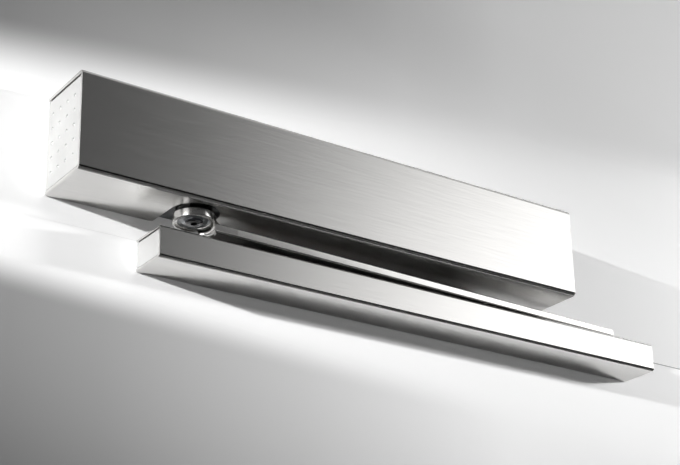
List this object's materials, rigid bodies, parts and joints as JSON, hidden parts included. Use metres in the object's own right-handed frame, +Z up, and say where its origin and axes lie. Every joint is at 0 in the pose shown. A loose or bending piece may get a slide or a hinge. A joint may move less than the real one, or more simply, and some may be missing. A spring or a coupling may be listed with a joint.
{
  "type": "overhead door closer",
  "caption": "Surface-mounted hydraulic door closer with a cranked lever arm running in a slide rail.",
  "frame": {"origin": "on the back of the mounting plate, straight behind the spindle, at the height of the cylinder's axis", "axes": "+X along the closer from the hinge side to the lock side of the door, +Y into the door frame, +Z up"},
  "size_m": [0.477, 0.046, 0.101],
  "materials": {
    "zinc_plate": "bright zinc plated pressed steel",
    "spring_steel": "hardened spring steel strip",
    "cast_housing": "sand cast iron under thin silver grey paint",
    "zinc_screw": "bright zinc plated",
    "machined_steel": "turned and ground steel",
    "seal_rubber": "matt black nitrile rubber",
    "bearing_steel": "ground bearing steel",
    "spring_wire": "oil tempered spring wire",
    "arm_paint": "satin silver paint on forged steel",
    "black_screw": "black oxide steel",
    "block_plastic": "black acetal",
    "pin_steel": "ground steel",
    "rail_aluminium": "plain extruded aluminium",
    "rail_cover_silver": "satin silver anodised aluminium",
    "cover_silver": "satin silver anodised aluminium",
    "cap_plastic": "silver grey moulded plastic",
    "ring_bronze": "bronze filled sealing ring",
    "valve_brass": "turned brass"
  },
  "bodies": {
    "closer_body": {"mounting_plate": "zinc_plate", "cover_clips": "spring_steel", "clip_rivets": "zinc_plate", "closer_housing": "cast_housing", "housing_screws": "zinc_screw", "left_end_plug": "machined_steel", "left_plug_seal": "seal_rubber", "right_end_plug": "machined_steel", "right_plug_seals": "seal_rubber", "lower_bearing": "bearing_steel", "upper_bearing": "bearing_steel", "lower_shaft_seal": "seal_rubber", "upper_shaft_seal": "seal_rubber", "bearing_retaining_rings": "spring_steel", "closing_spring": "spring_wire"},
    "lever": {"spindle_pinion": "machined_steel", "lever_arm": "arm_paint", "lever_washer": "zinc_plate", "lever_screw": "black_screw"},
    "slider": {"slide_block": "block_plastic", "slide_pin": "pin_steel"},
    "rail": {"rail_profile": "rail_aluminium", "rail_cover": "rail_cover_silver", "rail_end_cap_left": "cap_plastic", "rail_end_cap_right": "cap_plastic", "rail_fixing_block_left": "zinc_plate", "rail_fixing_block_right": "zinc_plate"},
    "cover": {"cover": "cover_silver", "end_cap_left": "cap_plastic", "end_cap_right": "cap_plastic"},
    "piston": {"piston": "machined_steel", "piston_rings": "ring_bronze", "check_valve_ball": "bearing_steel", "check_valve_retainer": "machined_steel"},
    "adjuster": {"adjusting_screw": "machined_steel"},
    "spring_seat": {"spring_seat": "machined_steel"},
    "closing_speed_screw": {"closing_speed_valve": "valve_brass", "closing_speed_valve_seal": "seal_rubber"},
    "latching_speed_screw": {"latching_speed_valve": "valve_brass", "latching_speed_valve_seal": "seal_rubber"},
    "backcheck_screw": {"backcheck_valve": "valve_brass", "backcheck_valve_seal": "seal_rubber"}
  },
  "joints": [
    {"name": "arm_swing", "type": "hinge", "parent": "closer_body", "child": "lever", "pos_m": [0, -0.0245, 0], "axis": [0, 0, -1], "range_deg": [0, 150], "stiffness_Nm_per_rad": 5, "springref_deg": -57.3},
    {"name": "block_pivot", "type": "hinge", "parent": "lever", "child": "slider", "pos_m": [0.354, -0.015, -0.0424], "axis": [0, 0, 1], "range_deg": [-45, 45]},
    {"name": "rail_slide", "type": "slide", "parent": "slider", "child": "rail", "axis": [1, 0, 0], "range_m": [-0.003, 0.34]},
    {"name": "piston_slide", "type": "slide", "parent": "closer_body", "child": "piston", "axis": [1, 0, 0], "range_m": [0, 0.0216], "deforming": ["closing_spring"]},
    {"name": "adjusting_turn", "type": "hinge", "parent": "closer_body", "child": "adjuster", "pos_m": [0.22, -0.0245, 0], "axis": [-1, 0, 0], "range_deg": [0, 1800]},
    {"name": "seat_slide", "type": "slide", "parent": "closer_body", "child": "spring_seat", "axis": [-1, 0, 0], "range_m": [0, 0.01], "deforming": ["closing_spring"]},
    {"name": "closing_speed_turn", "type": "hinge", "parent": "closer_body", "child": "closing_speed_screw", "pos_m": [-0.024, -0.0365, -0.021], "axis": [0, -1, 0], "range_deg": [0, 720]},
    {"name": "latching_speed_turn", "type": "hinge", "parent": "closer_body", "child": "latching_speed_screw", "pos_m": [-0.039, -0.0365, -0.021], "axis": [0, -1, 0], "range_deg": [0, 720]},
    {"name": "backcheck_turn", "type": "hinge", "parent": "closer_body", "child": "backcheck_screw", "pos_m": [-0.031, -0.0365, 0.021], "axis": [0, -1, 0], "range_deg": [0, 720]},
    {"name": "cover_pull", "type": "slide", "parent": "closer_body", "child": "cover", "axis": [0, -1, 0], "range_m": [0, 0.055]}
  ],
  "couplings": [
    {"joint": "piston_slide", "follows": "arm_swing", "m_per_rad": 0.00825},
    {"joint": "adjusting_turn", "follows": "seat_slide", "rad_per_m": 3141.6}
  ]
}
